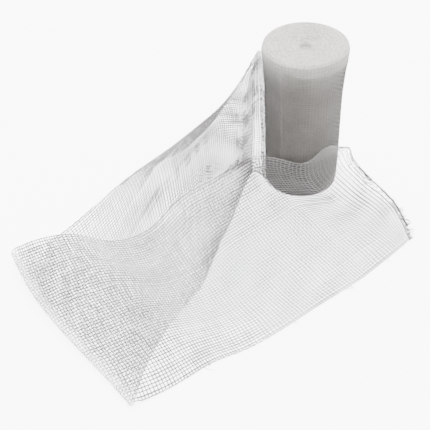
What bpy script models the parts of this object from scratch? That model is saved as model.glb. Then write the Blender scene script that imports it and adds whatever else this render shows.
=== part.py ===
"""A gauze bandage roll standing on end, with its loose end paid out, folded back over itself and
leaned on the foot of the roll. Metres, +Z up. The origin is under the middle of the roll, on the surface
that it stands on, and +Y points away from the side that the folded end lies on."""

import math

import bmesh
import bpy
import numpy as np

MM = 0.001

# The wound roll
ROLL_HEIGHT = 75 * MM
ROLL_SIDES = 56
HOLE_DEPTH = 9 * MM
# Radius of the wall at each height, from the flat foot to the rim that has spread a little
WALL = (
    {"z": 0.0, "r": 15.9},
    {"z": 0.8, "r": 16.7},
    {"z": 10.0, "r": 16.9},
    {"z": 30.0, "r": 17.1},
    {"z": 50.0, "r": 17.5},
    {"z": 62.0, "r": 18.2},
    {"z": 68.0, "r": 18.9},
    {"z": 72.5, "r": 19.4},
    {"z": 74.2, "r": 19.0},
)
# Height of the wound end at each radius, domed by a millimetre and dished towards the middle hole
WOUND_END = (
    {"r": 17.6, "z": 74.9},
    {"r": 14.0, "z": 75.0},
    {"r": 9.0, "z": 74.7},
    {"r": 5.0, "z": 74.1},
    {"r": 2.6, "z": 73.2},
    {"r": 1.8, "z": 72.2},
    {"r": 1.5, "z": 72.2 - HOLE_DEPTH / MM},
)
# The wall is a little out of round: by how much, where its long side lies, and how its second wave turns
OUT_OF_ROUND = 0.25 * MM
LONG_SIDE_AT = 0.6
SECOND_WAVE = 0.5
WAVE_TURN = 9 * MM
WELD = 0.001 * MM
SHARP_ABOVE = math.radians(50)

# The loose end
SHEET = 1.0 * MM
LAYER_PITCH = 2.2 * MM
ACROSS = 20
PAID_OUT_STEPS = 38
FOLD_STEPS = 4
TURNED_BACK_STEPS = 40
SPREAD_ROUNDS = 10
LEAN_WEIGHT = 10
FINER = 4
LAID_OVER_TOP = 24 * MM
LAID_OVER_BACK = -12 * MM
# Lower layer, one row for each line of weft from the roll to the fold. foot is its edge on the surface, crest
# its highest point, curl what hangs over behind the crest, bow how hollow the rise is from foot to crest, and
# swell how far the line swings out towards the fold.
PAID_OUT = (
    {"foot": (-10.6, -14.3), "crest": (-12.3, -16.1, 71.0), "curl": 0.0, "bow": 1.0, "swell": 0.0},
    {"foot": (-15.4, -8.9), "crest": (-18.0, -10.6, 72.6), "curl": 0.0, "bow": 1.0, "swell": 0.0},
    {"foot": (-18.4, -1.0), "crest": (-20.6, -3.0, 74.0), "curl": 0.0, "bow": 1.0, "swell": 0.0},
    {"foot": (-22.8, 2.5), "crest": (-22.9, -4.0, 69.0), "curl": 1.5, "bow": 1.0, "swell": 0.0},
    {"foot": (-26.8, -6.2), "crest": (-27.4, -8.6, 57.6), "curl": 6.5, "bow": 1.05, "swell": 0.0},
    {"foot": (-32.8, -27.7), "crest": (-34.4, -10.6, 48.0), "curl": 14.0, "bow": 1.25, "swell": 0.0},
    {"foot": (-41.7, -50.9), "crest": (-45.2, -13.5, 40.0), "curl": 18.0, "bow": 1.55, "swell": 0.0},
    {"foot": (-47.4, -72.8), "crest": (-57.2, -20.4, 34.0), "curl": 15.0, "bow": 1.85, "swell": 0.0},
    {"foot": (-55.3, -84.9), "crest": (-70.1, -25.0, 26.6), "curl": 10.0, "bow": 2.0, "swell": 0.5},
    {"foot": (-63.2, -98.3), "crest": (-85.3, -31.0, 19.0), "curl": 6.0, "bow": 2.1, "swell": 1.0},
    {"foot": (-69.6, -112.8), "crest": (-100.0, -40.6, 13.2), "curl": 3.0, "bow": 2.2, "swell": 2.0},
    {"foot": (-73.3, -124.6), "crest": (-116.0, -49.8, 6.9), "curl": 1.0, "bow": 2.2, "swell": 3.2},
    {"foot": (-76.0, -138.4), "crest": (-132.2, -51.6, 2.0), "curl": 0.0, "bow": 2.0, "swell": 4.0},
)
CURL_RADIUS = 4.5
CURL_BACK = (-0.4, 0.92, 0.0)
CURL_COLUMNS = 7
FULL_CURL = 8.0
FURTHEST_TURN = 0.85 * math.pi
EVENED_FROM = 8
EVENING_ROUNDS = 3
FOLD_SWING_PEAK = 1.5
CUT_SWING_PEAK = 1.1
FOLD_REACH = 1.2
# Upper layer, one row for each line of weft from the fold to the cut. hem is its edge on the surface, edge
# where it has climbed over the lower layer or leans on the roll, on how far it runs on from there round the
# roll, bulge how far the line swings outwards, and lean how squarely it turns up: 1 for a long slope.
TURNED_BACK = (
    {"hem": (-76.0, -138.4), "edge": (-132.2, -51.6, 4.2), "on": (0.0, 0.0, 0.0), "bulge": -4.0, "lean": 1.0},
    {"hem": (-62.2, -130.5), "edge": (-122.3, -49.4, 6.4), "on": (0.0, 0.0, 0.0), "bulge": -2.4, "lean": 1.0},
    {"hem": (-46.0, -118.7), "edge": (-107.4, -49.8, 9.0), "on": (0.0, 0.0, 0.0), "bulge": -1.0, "lean": 1.0},
    {"hem": (-29.5, -110.4), "edge": (-88.9, -54.8, 9.5), "on": (0.0, 0.0, 0.0), "bulge": 0.0, "lean": 1.0},
    {"hem": (-13.5, -99.3), "edge": (-73.5, -50.5, 11.5), "on": (0.0, 0.0, 0.0), "bulge": 0.0, "lean": 1.0},
    {"hem": (0.0, -88.9), "edge": (-60.2, -39.5, 15.0), "on": (0.0, 0.0, 0.0), "bulge": 0.0, "lean": 1.05},
    {"hem": (12.0, -79.5), "edge": (-46.2, -31.0, 18.8), "on": (0.0, 0.0, 0.0), "bulge": 0.5, "lean": 1.15},
    {"hem": (21.5, -72.0), "edge": (-33.6, -21.8, 22.3), "on": (0.0, 0.0, 0.0), "bulge": 1.5, "lean": 1.3},
    {"hem": (29.5, -64.8), "edge": (-23.6, -13.0, 22.5), "on": (0.0, 0.0, 0.0), "bulge": 3.0, "lean": 1.6},
    {"hem": (36.0, -58.8), "edge": (-13.5, -17.0, 24.5), "on": (0.0, 0.0, 0.0), "bulge": 4.5, "lean": 1.8},
    {"hem": (41.5, -53.5), "edge": (-1.5, -20.8, 24.0), "on": (0.0, 0.0, 0.0), "bulge": 7.0, "lean": 1.8},
    {"hem": (45.6, -49.0), "edge": (16.9, -13.5, 23.5), "on": (-9.2, -6.3, 7.5), "bulge": 9.5, "lean": 1.6},
)
OFF_THE_WALL = 2.0 * MM
LINE_POINTS = 101
ON_POINTS = 12
LATE_RISE = 0.8
# Soft creases of the upper layer: the two ends of each on the ground plan, its height and its half width
CREASE_FADE = 0.12
CREASES = (
    {"from": (-98.0, -66.0), "to": (-70.0, -74.0), "rise": 1.6, "reach": 3.2},
    {"from": (-92.0, -76.0), "to": (-76.0, -80.0), "rise": 1.2, "reach": 2.6},
    {"from": (-60.0, -108.0), "to": (-30.0, -98.0), "rise": 1.2, "reach": 4.0},
    {"from": (-54.0, -99.0), "to": (-40.0, -93.0), "rise": 0.9, "reach": 3.0},
)

# The frayed end, a strip of the last picks with the warp ends standing out of it
STRIP_GAP = 0.3 * MM
STRIP_WIDTH = 1.5 * MM
WARP_ENDS = 46
STRAND_REACH = (
    {"at": 0.0, "length": 2.6},
    {"at": 0.25, "length": 2.2},
    {"at": 0.45, "length": 4.4},
    {"at": 0.8, "length": 5.2},
    {"at": 1.0, "length": 3.0},
)
STRAND_STEPS = 3
STRAND_TIP = 0.45
# How a strand's length and its lean to the side change from one strand to the next
LENGTH_WAVES = ({"swing": 0.22, "turn": 2.3}, {"swing": 0.12, "turn": 5.1})
LEAN_WAVE = {"swing": 0.25, "turn": 1.7}


def clear_scene():
    for old in list(bpy.data.objects):
        bpy.data.objects.remove(old, do_unlink=True)


def cloth_material(name, colour, roughness):
    material = bpy.data.materials.new(name)
    material.use_nodes = True
    shader = material.node_tree.nodes["Principled BSDF"]
    shader.inputs["Base Color"].default_value = (*colour, 1.0)
    shader.inputs["Roughness"].default_value = roughness
    shader.inputs["Metallic"].default_value = 0.0
    return material


def finished(name, bm, material):
    """The bmesh as a named object of the scene, its faces turned outwards and smooth."""
    bmesh.ops.recalc_face_normals(bm, faces=bm.faces)
    mesh = bpy.data.meshes.new(name)
    bm.to_mesh(mesh)
    bm.free()
    mesh.shade_smooth()
    mesh.set_sharp_from_angle(angle=SHARP_ABOVE)
    mesh.materials.append(material)
    obj = bpy.data.objects.new(name, mesh)
    bpy.context.scene.collection.objects.link(obj)
    return obj


def smooth_rows(rows, count):
    """The rows of numbers read at count even steps from the smooth curve that passes through them."""
    rows = np.asarray(rows, float)
    gaps = np.linalg.norm(np.diff(rows, axis=0), axis=1)
    knots = np.concatenate([[0.0], np.cumsum(np.sqrt(gaps))])
    slopes = np.gradient(rows, knots, axis=0)
    found = []
    for place in np.linspace(0.0, knots[-1], count):
        k = min(int(np.searchsorted(knots, place, side="right")) - 1, len(knots) - 2)
        span = knots[k + 1] - knots[k]
        t = (place - knots[k]) / span
        rise = t * t * (3 - 2 * t)
        found.append(
            rows[k] * (1 - rise)
            + rows[k + 1] * rise
            + slopes[k] * span * t * (1 - t) ** 2
            - slopes[k + 1] * span * t * t * (1 - t)
        )
    return np.array(found)


def roll_radius(height):
    return np.interp(height, [row["z"] * MM for row in WALL], [row["r"] * MM for row in WALL])


def make_roll(material):
    """The profile from the middle of the foot, up the wall and in over the wound end, spun round +Z."""
    profile = [(0.0, 0.0)]
    profile += [(row["r"] * MM, row["z"] * MM) for row in WALL]
    profile += [(row["r"] * MM, row["z"] * MM) for row in WOUND_END]
    profile += [(0.0, WOUND_END[-1]["z"] * MM)]
    bm = bmesh.new()
    points = [bm.verts.new((x, 0.0, z)) for x, z in profile]
    edges = [bm.edges.new(pair) for pair in zip(points, points[1:])]
    bmesh.ops.spin(
        bm,
        geom=points + edges,
        cent=(0.0, 0.0, 0.0),
        axis=(0.0, 0.0, 1.0),
        angle=2 * math.pi,
        steps=ROLL_SIDES,
        use_merge=True,
    )
    bmesh.ops.remove_doubles(bm, verts=bm.verts, dist=WELD)
    for vert in bm.verts:
        around = math.atan2(vert.co.y, vert.co.x)
        wave = math.sin(2 * around + LONG_SIDE_AT) + SECOND_WAVE * math.sin(3 * around + vert.co.z / WAVE_TURN)
        swell = OUT_OF_ROUND * wave
        out = min(1.0, math.hypot(vert.co.x, vert.co.y) / roll_radius(ROLL_HEIGHT / 2))
        vert.co.x += swell * out * math.cos(around)
        vert.co.y += swell * out * math.sin(around)
    return finished("roll", bm, material)


def swung(start, run, share, swing, peak):
    """Points on the ground at each share of a run, pushed sideways. A peak of 1 pushes its middle most."""
    side = np.array([run[1], -run[0]]) / math.hypot(*run)
    return start + run * share + side * swing * np.sin(np.pi * share**peak)


def curled_over(rise, radius, over):
    """Where a line of weft lies that runs on from where its curl starts, turns over backwards and hangs."""
    if radius == 0:
        return rise * over
    turn = min(over / radius, FURTHEST_TURN)
    hanging = over - turn * radius
    reach = radius * (1 - math.cos(turn)) + hanging * math.sin(turn)
    lift = radius * math.sin(turn) + hanging * math.cos(turn)
    return rise * lift + np.array(CURL_BACK) * reach


def columns_across(share, curl):
    """Places of the columns on a line of weft: even on a plain one, and closer on the curl of a curled one."""
    even = np.linspace(0.0, 1.0, ACROSS + 1)
    risen = np.linspace(0.0, share, ACROSS + 1 - CURL_COLUMNS)
    closer = np.concatenate([risen, np.linspace(share, 1.0, CURL_COLUMNS + 1)[1:]])
    amount = min(curl / FULL_CURL, 1.0)
    return even * (1 - amount) + closer * amount


def evened(grid):
    """The grid with its rows from the crease to the fold drawn a little towards their neighbours."""
    for _ in range(EVENING_ROUNDS):
        middle = (grid[EVENED_FROM - 1 : -2] + grid[EVENED_FROM + 1 :]) / 2
        grid[EVENED_FROM:-1] = (grid[EVENED_FROM:-1] + middle) / 2
    return grid


def paid_out_grid():
    """Points of the lower layer, a row for each line of weft and a column for each step across."""
    rows = smooth_rows(
        [(*r["foot"], *r["crest"], r["curl"], r["bow"], r["swell"]) for r in PAID_OUT], PAID_OUT_STEPS + 1
    )
    grid = np.zeros((len(rows), ACROSS + 1, 3))
    for i, (foot_x, foot_y, crest_x, crest_y, crest_z, curl, bow, swell) in enumerate(rows):
        curl = max(curl, 0.0)
        foot, run = np.array([foot_x, foot_y]), np.array([crest_x - foot_x, crest_y - foot_y])
        climb = math.hypot(*run, crest_z)
        radius = min(CURL_RADIUS, curl / 2)
        straight = 1 - radius / climb
        length = climb + curl
        share = (climb - radius) / length
        rise = np.array([*run, crest_z * bow])
        rise /= np.linalg.norm(rise)
        for j, across in enumerate(columns_across(share, curl)):
            t = min(across / share, 1.0) * straight
            grid[i, j, :2] = swung(foot, run, t, -swell, FOLD_SWING_PEAK)
            grid[i, j, 2] = crest_z * t**bow
            if across > share:
                grid[i, j] += curled_over(rise, radius, (across - share) * length)
    grid *= MM
    grid[:, :, 2] += SHEET / 2
    return evened(grid)


def crease_height(points):
    height = np.zeros(points.shape[:2])
    for row in CREASES:
        start, end = np.array(row["from"]) * MM, np.array(row["to"]) * MM
        run = end - start
        t = np.clip((points[:, :, :2] - start) @ run / (run @ run), 0.0, 1.0)
        away = np.linalg.norm(points[:, :, :2] - start - t[:, :, None] * run, axis=2)
        fade = np.sin(np.pi * (CREASE_FADE + (1 - 2 * CREASE_FADE) * t))
        height += row["rise"] * MM * fade * np.exp(-((away / (row["reach"] * MM)) ** 2))
    return height


def under(points, lower):
    """Height that each point of the upper layer needs over the lower one, or over the surface beside it."""
    spots = lower
    for axis in (0, 1):
        count = spots.shape[axis]
        places = np.linspace(0, count - 1, (count - 1) * FINER + 1)
        start = np.minimum(places.astype(int), count - 2)
        share = np.expand_dims(places - start, (1 - axis, 2))
        spots = np.take(spots, start, axis) * (1 - share) + np.take(spots, start + 1, axis) * share
    spots = spots.reshape(-1, 3)
    spots = spots[(spots[:, 2] < LAID_OVER_TOP) & (spots[:, 1] < LAID_OVER_BACK)]
    found = np.full(points.shape[:2], SHEET / 2)
    for i, row in enumerate(points):
        away = np.linalg.norm(row[:, None, :2] - spots[None, :, :2], axis=2)
        near = np.where(away < LAYER_PITCH, spots[None, :, 2] + LAYER_PITCH, SHEET / 2)
        found[i] = near.max(axis=1)
    return found


def turned_up_line(hem, edge, on, bulge, lean):
    """Even points of a line of weft that runs flat, turns up to its edge and goes on round the roll."""
    run = edge[:2] - hem
    t = np.linspace(0.0, 1.0, LINE_POINTS)
    along = (1 - (1 - t) ** lean)[:, None]
    peak = FOLD_SWING_PEAK if bulge < 0 else CUT_SWING_PEAK
    line = np.zeros((LINE_POINTS, 3))
    line[:, :2] = swung(hem, run, along, bulge, peak)
    line[:, 2] = edge[2] * t ** (lean + LATE_RISE)
    line = np.concatenate([line, np.linspace(edge, edge + on, ON_POINTS)[1:]])
    gone = np.concatenate([[0.0], np.cumsum(np.linalg.norm(np.diff(line, axis=0), axis=1))])
    even = np.linspace(0.0, gone[-1], ACROSS + 1)
    return np.stack([np.interp(even, gone, line[:, k]) for k in range(3)], axis=1)


def off_the_roll(points):
    """The points with those that are too near the roll's wall moved straight out from it."""
    away = np.linalg.norm(points[:, :, :2], axis=2)
    least = roll_radius(points[:, :, 2]) + SHEET / 2 + OFF_THE_WALL
    points[:, :, :2] *= (np.maximum(away, least) / away)[:, :, None]
    return points


def turned_back_grid(lower):
    """Points of the upper layer, laid loosely over the lower one and up against the roll."""
    rows = smooth_rows(
        [(*r["hem"], *r["edge"], *r["on"], r["bulge"], LEAN_WEIGHT * r["lean"]) for r in TURNED_BACK],
        TURNED_BACK_STEPS + 1,
    )
    grid = np.zeros((len(rows), ACROSS + 1, 3))
    for i, row in enumerate(rows):
        grid[i] = turned_up_line(row[:2], row[2:5], row[5:8], row[8], row[9] / LEAN_WEIGHT)
    grid = off_the_roll(grid * MM)
    grid[:, :, 2] += SHEET / 2
    needed = np.maximum(under(grid, lower) - grid[:, :, 2], 0.0)
    lift = needed.copy()
    for _ in range(SPREAD_ROUNDS):
        padded = np.pad(lift, 1, mode="edge")
        middle = (padded[:-2, 1:-1] + padded[2:, 1:-1] + padded[1:-1, :-2] + padded[1:-1, 2:]) / 4
        lift = np.maximum(needed, middle)
        lift[:, 0] = needed[:, 0]
    grid[:, :, 2] += lift + crease_height(grid)
    return grid


def fold_grid(lower_line, upper_line):
    """The half turn from the end of the lower layer to the start of the upper one."""
    along = lower_line[-1] - lower_line[0]
    out = np.array([along[1], -along[0], 0.0])
    out /= np.linalg.norm(out)
    middle = (lower_line + upper_line) / 2
    reach = (upper_line[:, 2] - lower_line[:, 2]) / 2
    turned = []
    for step in range(1, FOLD_STEPS):
        angle = math.pi * step / FOLD_STEPS
        up = np.array([0.0, 0.0, 1.0])
        turned.append(
            middle - reach[:, None] * math.cos(angle) * up - FOLD_REACH * reach[:, None] * math.sin(angle) * out
        )
    return np.array(turned)


def loose_end_grid():
    lower = paid_out_grid()
    upper = turned_back_grid(lower)
    lower_line = lower[-1]
    upper[0, :, :2] = lower_line[:, :2]
    upper[0, :, 2] = np.maximum(upper[0, :, 2], lower_line[:, 2] + LAYER_PITCH)
    return np.concatenate([lower, fold_grid(lower_line, upper[0]), upper])


def normals_of(grid):
    along = np.gradient(grid, axis=0)
    across = np.gradient(grid, axis=1)
    normal = np.cross(along, across)
    return normal / np.linalg.norm(normal, axis=2)[:, :, None]


def thick_sheet(bm, grid, thickness):
    """A closed skin round the grid of points, half the thickness to each side of it."""
    normal = normals_of(grid)
    sides = []
    for way in (0.5, -0.5):
        skin = grid + normal * thickness * way
        skin[:, :, 2] = np.maximum(skin[:, :, 2], 0.0)
        sides.append([[bm.verts.new(point) for point in row] for row in skin])
    front, back = sides
    steps, picks = grid.shape[0] - 1, grid.shape[1] - 1
    for i in range(steps):
        for j in range(picks):
            bm.faces.new((front[i][j], front[i][j + 1], front[i + 1][j + 1], front[i + 1][j]))
            bm.faces.new((back[i][j], back[i + 1][j], back[i + 1][j + 1], back[i][j + 1]))
    for i in range(steps):
        for j in (0, picks):
            bm.faces.new((front[i][j], front[i + 1][j], back[i + 1][j], back[i][j]))
    for j in range(picks):
        for i in (0, steps):
            bm.faces.new((front[i][j], back[i][j], back[i][j + 1], front[i][j + 1]))
    return front, back


def make_loose_end(grid, material):
    bm = bmesh.new()
    thick_sheet(bm, grid, SHEET)
    return finished("loose_end", bm, material)


def make_frayed_end(grid, material):
    """The last picks as a narrow strip beyond the cut edge, with a tapered strand drawn out of it for each end."""
    last, before = grid[-1], grid[-2]
    out = last - before
    out /= np.linalg.norm(out, axis=1)[:, None]
    places = np.linspace(0.0, 1.0, 2 * WARP_ENDS + 2)
    picks = np.linspace(0.0, 1.0, ACROSS + 1)
    edge = np.stack([np.interp(places, picks, last[:, k]) for k in range(3)], axis=1)
    away = np.stack([np.interp(places, picks, out[:, k]) for k in range(3)], axis=1)
    away[:, 2] = np.minimum(away[:, 2], 0.0)
    near = edge + away * STRIP_GAP
    far = edge + away * (STRIP_GAP + STRIP_WIDTH)
    far[:, 2] = np.maximum(far[:, 2], SHEET / 2)
    bm = bmesh.new()
    front, back = thick_sheet(bm, np.stack([near, far]), SHEET)
    bmesh.ops.recalc_face_normals(bm, faces=bm.faces)
    bm.faces.ensure_lookup_table()
    narrowing = 1 - STRAND_TIP / STRAND_STEPS
    reach_at = [row["at"] for row in STRAND_REACH]
    reach = [row["length"] * MM for row in STRAND_REACH]
    roots = []
    for k in range(1, 2 * WARP_ENDS + 1, 2):
        corners = {front[1][k], front[1][k + 1], back[1][k], back[1][k + 1]}
        roots += [(k, face) for face in front[1][k].link_faces if set(face.verts) == corners]
    for k, face in roots:
        t = (places[k] + places[k + 1]) / 2
        length = np.interp(t, reach_at, reach)
        length *= 1 + sum(wave["swing"] * math.sin(wave["turn"] * k) for wave in LENGTH_WAVES)
        lean = LEAN_WAVE["swing"] * math.sin(LEAN_WAVE["turn"] * k)
        sideways = edge[k + 1] - edge[k]
        sideways /= np.linalg.norm(sideways)
        step = (away[k] + sideways * lean) * length / STRAND_STEPS
        for _ in range(STRAND_STEPS):
            made = bmesh.ops.extrude_discrete_faces(bm, faces=[face])
            face = made["faces"][0]
            middle = face.calc_center_median()
            low = min(vert.co.z for vert in face.verts)
            for vert in face.verts:
                vert.co.x = middle.x + (vert.co.x - middle.x) * narrowing + step[0]
                vert.co.y = middle.y + (vert.co.y - middle.y) * narrowing + step[1]
                vert.co.z = low + (vert.co.z - low) * narrowing
    return finished("frayed_end", bm, material)


def main():
    clear_scene()
    wound = cloth_material("wound gauze", (0.80, 0.79, 0.76), 0.9)
    loose = cloth_material("loose gauze", (0.88, 0.88, 0.87), 0.85)
    grid = loose_end_grid()
    make_roll(wound)
    make_loose_end(grid, loose)
    make_frayed_end(grid, loose)


main()
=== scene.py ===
"""The looks of a gauze bandage roll that stands on end: the wound gauze, its outermost turn, the loose end
woven thread by thread, and the frayed cut. Metres, +Z up, in the frame of the solids."""

import math

import bmesh
import bpy
import numpy as np
from mathutils import Matrix, Vector


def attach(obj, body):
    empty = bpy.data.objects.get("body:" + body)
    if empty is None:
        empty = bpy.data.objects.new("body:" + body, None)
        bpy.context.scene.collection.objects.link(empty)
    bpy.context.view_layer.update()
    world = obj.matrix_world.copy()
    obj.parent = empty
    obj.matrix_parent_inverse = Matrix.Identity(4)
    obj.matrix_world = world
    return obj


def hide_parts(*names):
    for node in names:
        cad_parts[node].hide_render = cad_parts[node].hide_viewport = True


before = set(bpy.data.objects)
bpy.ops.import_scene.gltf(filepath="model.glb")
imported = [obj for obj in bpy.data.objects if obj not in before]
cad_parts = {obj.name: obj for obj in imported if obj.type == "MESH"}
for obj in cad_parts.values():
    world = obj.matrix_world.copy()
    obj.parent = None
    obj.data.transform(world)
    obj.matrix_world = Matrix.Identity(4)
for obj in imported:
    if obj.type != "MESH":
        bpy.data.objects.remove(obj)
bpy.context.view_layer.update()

MM = 0.001
UP = np.array([0.0, 0.0, 1.0])
TINY = 1e-12


def named_rows(names, *rows):
    """Rows of a table whose columns have these names."""
    return [dict(zip(names.split(), row)) for row in rows]


# The wound roll
ROLL_HEIGHT = 75 * MM
HOLE_DEPTH = 9 * MM
# Radius of the wall at each height, from the flat foot to the rim that has spread a little
WALL = named_rows(
    "z r",
    (0, 15.9), (0.8, 16.7), (10, 16.9), (30, 17.1), (50, 17.5), (62, 18.2), (68, 18.9),
    (72.5, 19.4), (74.2, 19),
)
# Height of the wound end at each radius, domed by a millimetre and dished towards the middle hole
WOUND_END = named_rows(
    "r z",
    (17.6, 74.9), (14, 75), (9, 74.7), (5, 74.1), (2.6, 73.2), (1.8, 72.2),
    (1.5, 72.2 - HOLE_DEPTH / MM),
)
# The wall is a little out of round: by how much, where its long side lies, and how its second wave turns
OUT_OF_ROUND = 0.25 * MM
LONG_SIDE_AT = 0.6
SECOND_WAVE = 0.5
WAVE_TURN = 9 * MM
WELD = 0.001 * MM
SHARP_ABOVE = math.radians(50)

# The loose end
SHEET = 1.0 * MM
LAYER_PITCH = 2.2 * MM
ACROSS = 20
PAID_OUT_STEPS = 38
FOLD_STEPS = 4
TURNED_BACK_STEPS = 40
SPREAD_ROUNDS = 10
LEAN_WEIGHT = 10
FINER = 4
LAID_OVER_TOP = 24 * MM
LAID_OVER_BACK = -12 * MM
# Lower layer, one row for each line of weft from the roll to the fold. foot is its edge on the surface, crest
# its highest point, curl what hangs over behind the crest, bow how hollow the rise is from foot to crest, and
# swell how far the line swings out towards the fold.
PAID_OUT = named_rows(
    "foot crest curl bow swell",
    ((-10.6, -14.3), (-12.3, -16.1, 71), 0, 1, 0),
    ((-15.4, -8.9), (-18, -10.6, 72.6), 0, 1, 0),
    ((-18.4, -1), (-20.6, -3, 74), 0, 1, 0),
    ((-22.8, 2.5), (-22.9, -4, 69), 1.5, 1, 0),
    ((-26.8, -6.2), (-27.4, -8.6, 57.6), 6.5, 1.05, 0),
    ((-32.8, -27.7), (-34.4, -10.6, 48), 14, 1.25, 0),
    ((-41.7, -50.9), (-45.2, -13.5, 40), 18, 1.55, 0),
    ((-47.4, -72.8), (-57.2, -20.4, 34), 15, 1.85, 0),
    ((-55.3, -84.9), (-70.1, -25, 26.6), 10, 2, 0.5),
    ((-63.2, -98.3), (-85.3, -31, 19), 6, 2.1, 1),
    ((-69.6, -112.8), (-100, -40.6, 13.2), 3, 2.2, 2),
    ((-73.3, -124.6), (-116, -49.8, 6.9), 1, 2.2, 3.2),
    ((-76, -138.4), (-132.2, -51.6, 2), 0, 2, 4),
)
CURL_RADIUS = 4.5
CURL_BACK = (-0.4, 0.92, 0.0)
CURL_COLUMNS = 7
FULL_CURL = 8.0
FURTHEST_TURN = 0.85 * math.pi
EVENED_FROM = 8
EVENING_ROUNDS = 3
FOLD_SWING_PEAK = 1.5
CUT_SWING_PEAK = 1.1
FOLD_REACH = 1.2
# Upper layer, one row for each line of weft from the fold to the cut. hem is its edge on the surface, edge
# where it has climbed over the lower layer or leans on the roll, on how far it runs on from there round the
# roll, bulge how far the line swings outwards, and lean how squarely it turns up: 1 for a long slope.
TURNED_BACK = named_rows(
    "hem edge on bulge lean",
    ((-76, -138.4), (-132.2, -51.6, 4.2), (0, 0, 0), -4, 1),
    ((-62.2, -130.5), (-122.3, -49.4, 6.4), (0, 0, 0), -2.4, 1),
    ((-46, -118.7), (-107.4, -49.8, 9), (0, 0, 0), -1, 1),
    ((-29.5, -110.4), (-88.9, -54.8, 9.5), (0, 0, 0), 0, 1),
    ((-13.5, -99.3), (-73.5, -50.5, 11.5), (0, 0, 0), 0, 1),
    ((0, -88.9), (-60.2, -39.5, 15), (0, 0, 0), 0, 1.05),
    ((12, -79.5), (-46.2, -31, 18.8), (0, 0, 0), 0.5, 1.15),
    ((21.5, -72), (-33.6, -21.8, 22.3), (0, 0, 0), 1.5, 1.3),
    ((29.5, -64.8), (-23.6, -13, 22.5), (0, 0, 0), 3, 1.6),
    ((36, -58.8), (-13.5, -17, 24.5), (0, 0, 0), 4.5, 1.8),
    ((41.5, -53.5), (-1.5, -20.8, 24), (0, 0, 0), 7, 1.8),
    ((45.6, -49), (16.9, -13.5, 23.5), (-9.2, -6.3, 7.5), 9.5, 1.6),
)
OFF_THE_WALL = 2.0 * MM
LINE_POINTS = 101
ON_POINTS = 12
LATE_RISE = 0.8
# Soft creases of the upper layer: the two ends of each on the ground plan, its height and its half width
CREASE_FADE = 0.12
CREASES = named_rows(
    "from to rise reach",
    ((-98, -66), (-70, -74), 1.6, 3.2),
    ((-92, -76), (-76, -80), 1.2, 2.6),
    ((-60, -108), (-30, -98), 1.2, 4),
    ((-54, -99), (-40, -93), 0.9, 3),
)


# The weave: warp ends run along the cloth and picks of weft across it
WARP_ENDS = 60
PICKS = 231
THREAD = 0.275 * MM
WOUND_THREAD = 0.12 * MM
CRIMP = 0.19 * MM
END_WANDER = 0.22
PICK_WANDER = 0.30
END_JITTER = 0.04
PICK_JITTER = 0.05
END_UNEVEN = 0.08
PICK_UNEVEN = 0.1
LOOSE_SEED = 3
TURN_SEED = 11
# How fine the tables are that a lie of cloth is read from
FINER_LINE = 8
FINE_ALONG = 700
FINE_ACROSS = 180
# Slow drifts: how many waves of each length, what evens out their sum, and the lengths, in threads
DRIFT_HEADINGS = 3
DRIFT_SCALE = 1.8
END_DRIFTS = (60, 23)
PICK_DRIFTS = (40, 17)
WAVE_DRIFTS = (11, 7)
RIPPLE_DRIFTS = (13, 9)
SLUB_DRIFTS = (31, 13)
# Where the hanging part begins and ends along the cloth, over how much, and how its threads wave there
RIPPLED = (0.10, 0.36)
RIPPLED_OVER = (0.05, 0.08)
EVENER_PICKS = 0.7
RIPPLE = 1.0
RIPPLE_PICKS = 5.0
RIPPLE_WAVE = 0.22
RIPPLE_UNEVEN = 1.8
WAVE_ALONG = 0.4
WAVE_ACROSS = 0.3
RIPPLE_DRIFT = 0.25
RIPPLE_ACROSS = 0.16
# How fine the loose end's threads are drawn, by share along the cloth
FINENESS = named_rows(
    "at size",
    (0, 0.4), (0.045, 0.5), (0.052, 1), (0.07, 1.05), (0.1, 0.8), (0.16, 1.05), (0.24, 0.95),
    (1, 1),
)
FINER_UNDER = 0.35
FINER_OVER_ROLL = 0.3
FINER_CURL = 0.6
# How much of the loose end stays open between its threads where it hangs, by share along the cloth
SEEN_OPEN = named_rows(
    "at open",
    (0.05, 0.12), (0.08, 0.2), (0.12, 0.08), (0.17, 0.08), (0.22, 0.16), (0.3, 0.32), (0.42, 0.4),
)
# The least that stays open where the loose end lies flat, and the width of a thread over its radius
FLAT_OPEN = 0.35
THREAD_WIDTH = 1.74
FINEST_HUNG = 0.25
STOUTEST_HUNG = 1.14
STOUTEST_LOW = 0.88
FINEST_FLAT = 0.3
# How far the picks run askew: at each share along the cloth, by how much they trail at the lower selvedge
ASKEW = named_rows(
    "at trail",
    (0, 0), (0.36, 0), (0.5, 0.055), (0.62, 0.06), (0.72, 0.075), (0.84, 0.06), (0.94, 0.03),
    (1, 0),
)
# Where the warp ends lie across the hanging part, which are spread below and crowd towards the crest, and
# the gap between them there over the mean gap
SPREAD = named_rows(
    "end across gap",
    (0, 0, 1.23),
    (0.3, 0.37, 1.2),
    (0.6, 0.72, 1.05),
    (0.78, 0.88, 0.7),
    (1, 1, 0.55),
)
SLUB = 0.18
SLUB_FINER = 3
# The weft of the loose end is finer than the mean thread, and its warp stouter except where it hangs
WEFT_FINER = 0.08
WARP_STOUTER = 0.09

# The outermost turn, from where the loose end leaves the roll back round it, and its upper edge on the way
TURN_START = math.radians(-127)
TURN_SWEEP = math.radians(322)
TURN_OFF_WALL = 0.05 * MM
TURN_LEAVING = 0.8 * MM
TURN_LEAVING_SHARE = 0.2
TURN_TOP = named_rows(
    "at z",
    (0, 71), (0.1, 69.2), (0.3, 68.6), (0.5, 69.8), (0.75, 72), (1, 72.6),
)
TURN_FOOT = 0.8 * MM
TURN_PICKS = 66
TURN_ROUND = 90
TURN_RISE = 31

# The wound body
WALL_STEPS = 64
END_STEPS = 96
BODY_SIDES = 168
TURN_PITCH = 0.62 * MM
TURN_RELIEF = 0.05 * MM
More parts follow.
